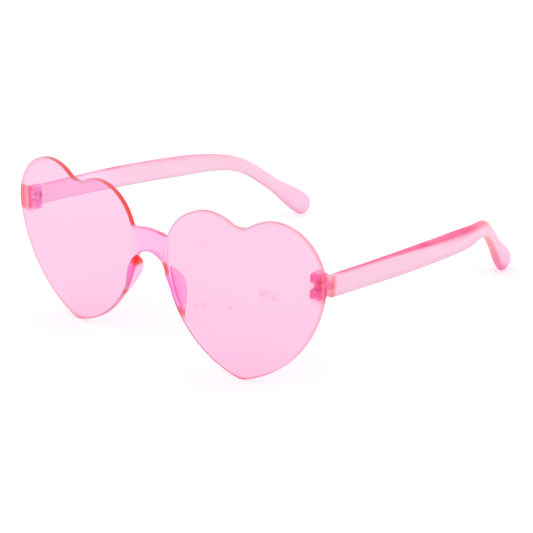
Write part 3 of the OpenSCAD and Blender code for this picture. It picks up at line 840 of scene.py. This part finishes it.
# ---------------------------------------------------------------- temples
# Each temple is one moulding of frosted pink plastic: a flat bar that bows round the head,
# bends down behind the ear and turns over into a flat paddle, with a round knuckle on the
# screw. Seen along its narrow edges the plastic glows deep and rosy, seen across it is pale;
# that glow is painted on the edges.
ROOT = np.array([67.039, 8.45061, 8.8])
TEMPLE_LEN, TEMPLE_T, NECK_T, END_T = 146.0, 2.8, 4.1, 5.4
ROOT_H, TEMPLE_H, NECK_H, PADDLE_H = 7.1, 8.0, 5.6, 9.0
TOE, BOW_IN, EAR_TURN, FLICK, STRAIGHT = 3.5, 10.7, 10.9, 9.0, 0.616 * TEMPLE_LEN
FALL, FALL_MORE, BEND, BEND_START, BEND_LEN = 2.8, 2.5, 31.3, 88.5, 28.2
KNUCKLE_R, KNUCKLE_H, BORE_R = 1.65, 2.2, 0.80
# The web's two corners beside the pin, how far it reaches into the bar, and how far it
# stays in from the bar's sides and from the knuckle's two ends
WEB_START, WEB_REACH, WEB_SIDE, WEB_LEVEL = ((-0.35, 1.3), (0.95, -0.9)), 1.2, 0.2, 0.1
# Rounding of the bar's front end and of the knuckle, and the powers of the superellipse
# at the bar's two ends and of the rounding of the paddle's end, in height and thickness
FRONT_ROUND, KNUCKLE_ROUND = 0.28, 0.15
FRONT_POWER, END_POWER, TIP_H_POWER, TIP_T_POWER = 6, 1.8, 2.2, 4.5
# Points round the bar and the knuckle, sections along the bar's front end, its straight
# stretch, its bends and its tip, and where the bends' closer sections begin
SIDES, KNUCKLE_SIDES = 64, 48
FRONT_N, STRAIGHT_N, BEND_N, TIP_N, BENDS_FROM = 6, 40, 90, 22, 70


def temple_skin():
    """A superellipse carried along a falling, inward turning line. Height, thickness
    and squareness are smooth steps of the distance from the hinge."""
    end = PADDLE_H / 2
    s = np.concatenate([
        FRONT_ROUND * (1 - np.cos(np.linspace(0, np.pi / 2, FRONT_N))),
        np.linspace(FRONT_ROUND, BENDS_FROM, STRAIGHT_N)[1:],
        np.linspace(BENDS_FROM, TEMPLE_LEN - end, BEND_N)[1:],
        TEMPLE_LEN - end + end * np.sin(np.linspace(0, np.pi / 2, TIP_N))[1:]])
    way = s / TEMPLE_LEN
    yaw = np.radians(-TOE + BOW_IN * held(s, 0, STRAIGHT) + EAR_TURN * rise(way, 0.529, 0.638)
                     - FLICK * rise(way, 0.875, 0.996))
    fall = np.radians(FALL + FALL_MORE * held(s, 0, STRAIGHT)
                      + BEND * rise(s, BEND_START, BEND_START + BEND_LEN))
    ahead = np.stack([-np.sin(yaw) * np.cos(fall), np.cos(yaw) * np.cos(fall), -np.sin(fall)], -1)
    middle = ROOT + np.concatenate([np.zeros((1, 3)), np.cumsum(
        (ahead[1:] + ahead[:-1]) / 2 * np.diff(s)[:, None], axis=0)])
    out_axis = np.stack([np.cos(yaw), np.sin(yaw), 0 * yaw], -1)
    up_axis = np.cross(out_axis, ahead)
    tip = held(s, TEMPLE_LEN - end, TEMPLE_LEN)
    cut = 2 * FRONT_ROUND * (1 - np.sqrt(1 - (1 - held(s, 0, FRONT_ROUND)) ** 2))
    high = (ROOT_H + (TEMPLE_H - ROOT_H) * rise(way, 0, 0.34)
            + (NECK_H - TEMPLE_H) * rise(way, 0.495, 0.767)
            + (PADDLE_H - NECK_H) * rise(way, 0.829, 0.954))
    thick = (TEMPLE_T + (NECK_T - TEMPLE_T) * rise(way, 0.58, 0.716)
             + (END_T - NECK_T) * rise(way, 0.752, 1))
    high = high * np.sqrt(1 - tip ** TIP_H_POWER) - cut
    thick = thick * np.sqrt(1 - tip ** TIP_T_POWER) - cut
    power = FRONT_POWER + (END_POWER - FRONT_POWER) * rise(way, 0.461, 0.688)[:, None]
    a = np.linspace(0, 2 * np.pi, SIDES, endpoint=False)
    c = np.sign(np.cos(a)) * np.abs(np.cos(a)) ** (2 / power)
    v = np.sign(np.sin(a)) * np.abs(np.sin(a)) ** (2 / power)
    points = (middle[:, None] + out_axis[:, None] * (thick[:, None] / 2 * c)[..., None]
              + up_axis[:, None] * (high[:, None] / 2 * v)[..., None])
    return s[:, None], points, c, v


def painted_temple_light(s, c, v, mirror):
    """Share of the painted edge glow: 1 on the upper edge, spreading down the outer face
    towards the bend, and on the lower edge past the bend; and the dull line of painted shade
    on the lower corner. Past the sheet that covers its front, the wearer's right temple keeps
    only a part of the glow. s is in mm from the hinge, c is 1 on the outer face and v is 1 on
    the upper edge."""
    past = rise(s, 98, 112)
    reach = 0.90 - 0.68 * rise(s, 22, 84) * np.clip(c * 2 + 0.5, 0, 1)
    upper = np.clip((v - reach) / (1.001 - reach) * 1.6, 0, 1) * (1 - past)
    upper = (upper * rise(s, 0, 5) * (1 - past)
             * (1 - 0.55 * rise(c, 0.1, 0.9) * (1 - rise(s, 8, 48))))
    lower = held(-v, 0.55, 0.85) * past
    dull = 0.7 * held(-v, 0.84, 0.92) * (1 - past)
    strength = 1 if mirror > 0 else 0.4 + 0.6 * rise(s, 46, 36)
    return np.maximum(upper, lower) * strength, dull


def knuckle():
    """A ring with rounded corners turned about the pin, and a web: a flat bar from the
    ring's side into the front end of the bar. Gives points and faces."""
    half, small = KNUCKLE_H / 2, KNUCKLE_ROUND
    r = np.array([BORE_R, KNUCKLE_R - small, KNUCKLE_R, KNUCKLE_R, KNUCKLE_R - small, BORE_R])
    z = np.array([half, half, half - small, small - half, -half, -half])
    turn = np.linspace(0, 2 * np.pi, KNUCKLE_SIDES, endpoint=False)
    ring = np.stack([PIN[0] + r[:, None] * np.cos(turn), PIN[1] + r[:, None] * np.sin(turn),
                     PIN[2] + z[:, None] + 0 * turn], -1).reshape(-1, 3)
    ids = np.arange(len(ring)).reshape(len(r), KNUCKLE_SIDES)
    faces = [q for i in range(len(r)) for q in strip(ids[i], ids[(i + 1) % len(r)], True)]
    side, top = TEMPLE_T / 2 - WEB_SIDE, half - WEB_LEVEL
    plan = [*(PIN[:2] + WEB_START), *(ROOT[:2] + [(side, 0), (side, WEB_REACH),
                                                  (-side, WEB_REACH), (-side, 0)])]
    web = [(*corner, PIN[2] + level) for level in (-top, top) for corner in plan]
    w = len(ring) + np.arange(len(plan))
    faces += [w[::-1], w + len(plan), *strip(w, w + len(plan), True)]
    return np.concatenate([ring, web]), faces


def temple(name, mirror):
    """The bar's skin with a fan at each end, and the knuckle and its web."""
    s, grid, c, v = temple_skin()
    rows, cols = grid.shape[:2]
    ids = np.arange(rows * cols).reshape(rows, cols)
    faces = [q for i in range(rows - 1) for q in strip(ids[i + 1], ids[i], True)]
    extra, extra_faces = knuckle()
    faces += [ids[0], ids[-1][::-1], *[f + rows * cols for f in extra_faces]]
    points = np.concatenate([grid.reshape(-1, 3), extra])
    piece = new_piece(name, placed(points * [mirror, 1, 1]), [f[::mirror] for f in faces])
    deep, dull = painted_temple_light(s, c, v, mirror)
    # Painted orange glow on the front end's outer corner, and painted light on the wearer's right
    # temple behind the sheet
    hot = rise(s, 0.5, 0.25) * rise(c, 0.5, 0.75)
    behind = rise(s, 44, 30) * (mirror < 0)
    for key, bar, rest in (("painted_edge_glow", deep, 0.25), ("painted_shade_corner", dull, 0),
                           ("from_hinge", s, 10), ("hot_corner", hot, 0), ("knuckle", 0, 1),
                           ("behind_sheet", behind, 0)):
        give(piece.data, key, np.concatenate([np.broadcast_to(bar, c.shape).ravel(),
                                              np.full(len(extra), rest)]))
    weld(piece.data, outward=True)
    return piece


def frosted_pink():
    """Frosted plastic: light soaks in and spreads. A painted glow makes the upper edge and,
    past the bend, the lower one deeper pink, warm orange where the bar bends, and a fine grain
    breaks the shine. The thin lower corner is a dull mauve of painted shade, and the knuckle
    is clear. The front end's outer corner has a painted orange glow, and the wearer's right
    temple is painted lighter and clearer behind the sheet."""
    made, tree = blank_material("frosted_pink_plastic")
    far = remap(tree, "from_hinge", 0, TEMPLE_LEN)
    pale = ramp(tree, far, ((0.0, (1.0, 0.75, 0.88)), (0.5, (1.0, 0.75, 0.88)),
                            (0.66, (1.0, 0.74, 0.86)), (0.8, (1.0, 0.73, 0.86)),
                            (1.0, (1.0, 0.71, 0.87))))
    # Colours of the painted edge glow along the bar
    rosy = ramp(tree, far, ((0.0, (1.0, 0.20, 0.42)), (0.15, (0.98, 0.09, 0.30)),
                            (0.5, (0.98, 0.09, 0.31)), (0.62, (1.0, 0.16, 0.34)),
                            (0.68, (1.0, 0.36, 0.37)), (0.84, (1.0, 0.34, 0.36)),
                            (0.93, (1.0, 0.24, 0.46)), (1.0, (1.0, 0.26, 0.52))), False)
    place = in_object(tree)
    cloud = remap(tree, noise(tree, place, 90.0), 0.4, 0.7, 0, 0.16)
    colour = layered(tree, pale, ("painted_edge_glow", rosy), ("painted_shade_corner", (0.80, 0.48, 0.61)))
    # Painted light: the wearer's right temple is lighter behind the sheet, and the front end's
    # outer corner glows orange
    lit = blend_colours(tree, 0.5, colour, (1.0, 0.80, 1.0))
    colour = layered(tree, colour,
                     ("behind_sheet", lit),
                     ("knuckle", (1.0, 0.48, 0.76)),
                     ("hot_corner", (1.0, 0.26, 0.20)),
                     (cloud, (1.0, 0.87, 0.95)))
    grain = node(tree, "ShaderNodeBump", Strength=0.12, Distance=0.00004,
                 Height=noise(tree, place, 1800.0, 3.0))[0]
    skin = node(tree, "ShaderNodeBsdfPrincipled", Base_Color=colour, Roughness=0.42, IOR=1.45,
                Normal=grain)[0]
    frost = between(tree, 0.4, skin, node(tree, "ShaderNodeBsdfTranslucent", Color=colour)[0])
    clearer = maths(tree, "SUBTRACT", remap(tree, "behind_sheet", 0, 1, 0.42, 0.62),
                    remap(tree, "painted_edge_glow", 0, 1, 0, 0.3))
    clearer = maths(tree, "MAXIMUM", maths(tree, "MULTIPLY", "knuckle", 0.97), clearer)
    clear = see_through(tree, blend_colours(tree, 0.5, colour, WHITE))
    node(tree, "ShaderNodeOutputMaterial", between(tree, clearer, frost, clear))
    return made


temple_material = frosted_pink()
for name, side, body in (("temple_left", 1, "left_temple"), ("temple_right", -1, "right_temple")):
    bar = temple("frosted_" + name, side)
    bar.data.materials.append(temple_material)
    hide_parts(name)
    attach(bar, body)
